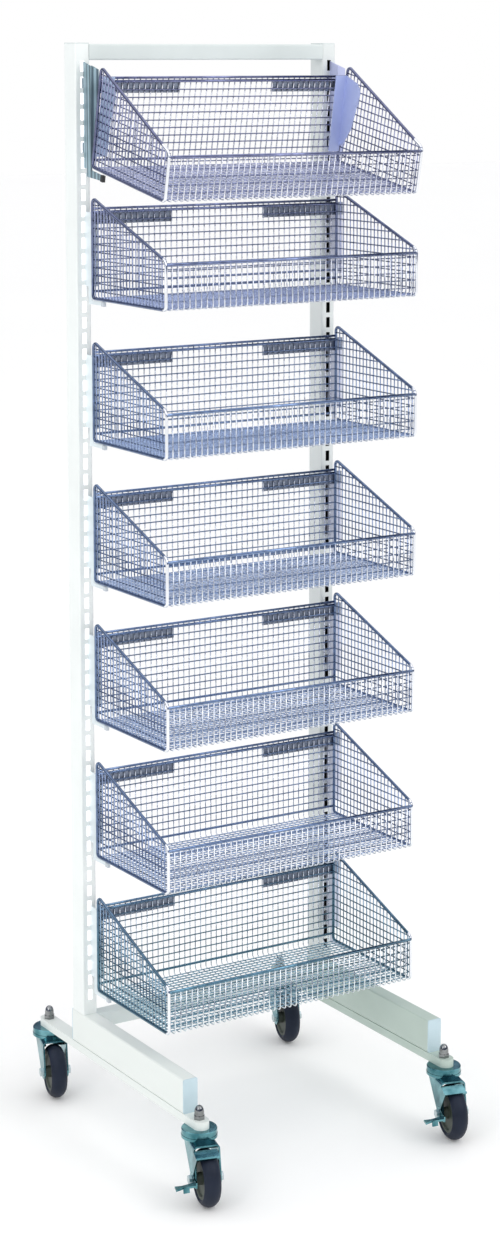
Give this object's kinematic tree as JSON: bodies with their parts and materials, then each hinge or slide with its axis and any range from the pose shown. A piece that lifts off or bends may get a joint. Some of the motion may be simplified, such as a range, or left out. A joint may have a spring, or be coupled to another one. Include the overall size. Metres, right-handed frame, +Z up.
{
  "type": "wire basket display rack",
  "caption": "Mobile single-sided display rack: slotted twin uprights on two feet with swivel casters, carrying wire baskets on hook-in hangers, the top one tilted forward",
  "frame": {"origin": "middle of the footprint at floor level", "axes": "+Z up; -Y is the front, where the baskets open; +X is the right side seen from the front"},
  "size_m": [0.5668, 0.6076, 1.772],
  "materials": {
    "frame_paint": "pale grey powder coat, satin",
    "foot_paint": "pale grey-green powder coat, satin",
    "plug_plastic": "bluish white plastic",
    "basket_wire": "bright zinc-chrome wire",
    "basket_rail": "bright zinc-chrome heavy wire",
    "hook_plate_zinc": "grey zinc-plated sheet",
    "hanger_zinc": "blue-violet zinc-plated sheet",
    "tip_plastic": "black plastic",
    "caster_zinc": "zinc-plated pressed steel with a blue-green tint",
    "bolt_zinc": "zinc-plated bolt",
    "nut_chrome": "bright chrome",
    "hub_plastic": "grey-olive plastic",
    "tyre_rubber": "navy-black rubber, satin"
  },
  "bodies": {
    "root": {"acorn_nuts": "nut_chrome", "beam_end_plugs": "plug_plastic", "front_left_caster_head": "caster_zinc", "front_right_caster_head": "caster_zinc", "hanger_tips": "tip_plastic", "left_foot_bar": "foot_paint", "left_foot_beam": "foot_paint", "left_hangers": "hanger_zinc", "left_tilt_bracket": "hanger_zinc", "left_upright": "frame_paint", "lower_crossbar": "frame_paint", "rear_left_caster_head": "caster_zinc", "rear_right_caster_head": "caster_zinc", "right_foot_bar": "foot_paint", "right_foot_beam": "foot_paint", "right_hangers": "hanger_zinc", "right_tilt_bracket": "hanger_zinc", "right_upright": "frame_paint", "top_crossbar": "frame_paint", "upright_caps": "frame_paint"},
    "basket_1": {"basket_1_frame": "basket_rail", "basket_1_hook_plates": "hook_plate_zinc", "basket_1_mesh": "basket_wire", "basket_1_wings": "hanger_zinc"},
    "basket_2": {"basket_2_frame": "basket_rail", "basket_2_hook_plates": "hook_plate_zinc", "basket_2_mesh": "basket_wire"},
    "basket_3": {"basket_3_frame": "basket_rail", "basket_3_hook_plates": "hook_plate_zinc", "basket_3_mesh": "basket_wire"},
    "basket_4": {"basket_4_frame": "basket_rail", "basket_4_hook_plates": "hook_plate_zinc", "basket_4_mesh": "basket_wire"},
    "basket_5": {"basket_5_frame": "basket_rail", "basket_5_hook_plates": "hook_plate_zinc", "basket_5_mesh": "basket_wire"},
    "basket_6": {"basket_6_frame": "basket_rail", "basket_6_hook_plates": "hook_plate_zinc", "basket_6_mesh": "basket_wire"},
    "basket_7": {"basket_7_frame": "basket_rail", "basket_7_hook_plates": "hook_plate_zinc", "basket_7_mesh": "basket_wire"},
    "front_left_swivel": {"front_left_axle": "bolt_zinc", "front_left_fork": "caster_zinc"},
    "front_left_brake": {"front_left_brake_lever": "caster_zinc"},
    "front_left_wheel": {"front_left_hub": "hub_plastic", "front_left_tyre": "tyre_rubber"},
    "front_right_swivel": {"front_right_axle": "bolt_zinc", "front_right_fork": "caster_zinc"},
    "front_right_brake": {"front_right_brake_lever": "caster_zinc"},
    "front_right_wheel": {"front_right_hub": "hub_plastic", "front_right_tyre": "tyre_rubber"},
    "rear_left_swivel": {"rear_left_axle": "bolt_zinc", "rear_left_fork": "caster_zinc"},
    "rear_left_wheel": {"rear_left_hub": "hub_plastic", "rear_left_tyre": "tyre_rubber"},
    "rear_right_swivel": {"rear_right_axle": "bolt_zinc", "rear_right_fork": "caster_zinc"},
    "rear_right_wheel": {"rear_right_hub": "hub_plastic", "rear_right_tyre": "tyre_rubber"}
  },
  "joints": [
    {"name": "front_left_swivel_turn", "type": "hinge", "parent": "root", "child": "front_left_swivel", "pos_m": [-0.21307, -0.22168, 0.103], "axis": [0, 0, 1], "continuous": true},
    {"name": "front_left_roll", "type": "hinge", "parent": "front_left_swivel", "child": "front_left_wheel", "pos_m": [-0.22343, -0.26032, 0.0445], "axis": [0.9659, -0.2588, 0], "continuous": true},
    {"name": "front_left_brake_press", "type": "hinge", "parent": "front_left_swivel", "child": "front_left_brake", "pos_m": [-0.22343, -0.26032, 0.0445], "axis": [0.9659, -0.2588, 0], "range_deg": [0, 12]},
    {"name": "front_right_swivel_turn", "type": "hinge", "parent": "root", "child": "front_right_swivel", "pos_m": [0.25493, -0.22168, 0.103], "axis": [0, 0, 1], "continuous": true},
    {"name": "front_right_roll", "type": "hinge", "parent": "front_right_swivel", "child": "front_right_wheel", "pos_m": [0.24457, -0.26032, 0.0445], "axis": [0.9659, -0.2588, 0], "continuous": true},
    {"name": "front_right_brake_press", "type": "hinge", "parent": "front_right_swivel", "child": "front_right_brake", "pos_m": [0.24457, -0.26032, 0.0445], "axis": [0.9659, -0.2588, 0], "range_deg": [0, 12]},
    {"name": "rear_left_swivel_turn", "type": "hinge", "parent": "root", "child": "rear_left_swivel", "pos_m": [-0.21307, 0.27531, 0.103], "axis": [0, 0, 1], "continuous": true},
    {"name": "rear_left_roll", "type": "hinge", "parent": "rear_left_swivel", "child": "rear_left_wheel", "pos_m": [-0.22343, 0.23668, 0.0445], "axis": [0.9659, -0.2588, 0], "continuous": true},
    {"name": "rear_right_swivel_turn", "type": "hinge", "parent": "root", "child": "rear_right_swivel", "pos_m": [0.25493, 0.27531, 0.103], "axis": [0, 0, 1], "continuous": true},
    {"name": "rear_right_roll", "type": "hinge", "parent": "rear_right_swivel", "child": "rear_right_wheel", "pos_m": [0.24457, 0.23668, 0.0445], "axis": [0.9659, -0.2588, 0], "continuous": true},
    {"name": "basket_1_tilt", "type": "hinge", "parent": "root", "child": "basket_1", "pos_m": [0.02093, 0.09712, 1.58879], "axis": [1, 0, 0], "range_deg": [-11, 0]},
    {"name": "basket_2_lift", "type": "slide", "parent": "root", "child": "basket_2", "axis": [0, 0, 1], "range_m": [0, 0.012]},
    {"name": "basket_3_lift", "type": "slide", "parent": "root", "child": "basket_3", "axis": [0, 0, 1], "range_m": [0, 0.012]},
    {"name": "basket_4_lift", "type": "slide", "parent": "root", "child": "basket_4", "axis": [0, 0, 1], "range_m": [0, 0.012]},
    {"name": "basket_5_lift", "type": "slide", "parent": "root", "child": "basket_5", "axis": [0, 0, 1], "range_m": [0, 0.012]},
    {"name": "basket_6_lift", "type": "slide", "parent": "root", "child": "basket_6", "axis": [0, 0, 1], "range_m": [0, 0.012]},
    {"name": "basket_7_lift", "type": "slide", "parent": "root", "child": "basket_7", "axis": [0, 0, 1], "range_m": [0, 0.012]}
  ]
}
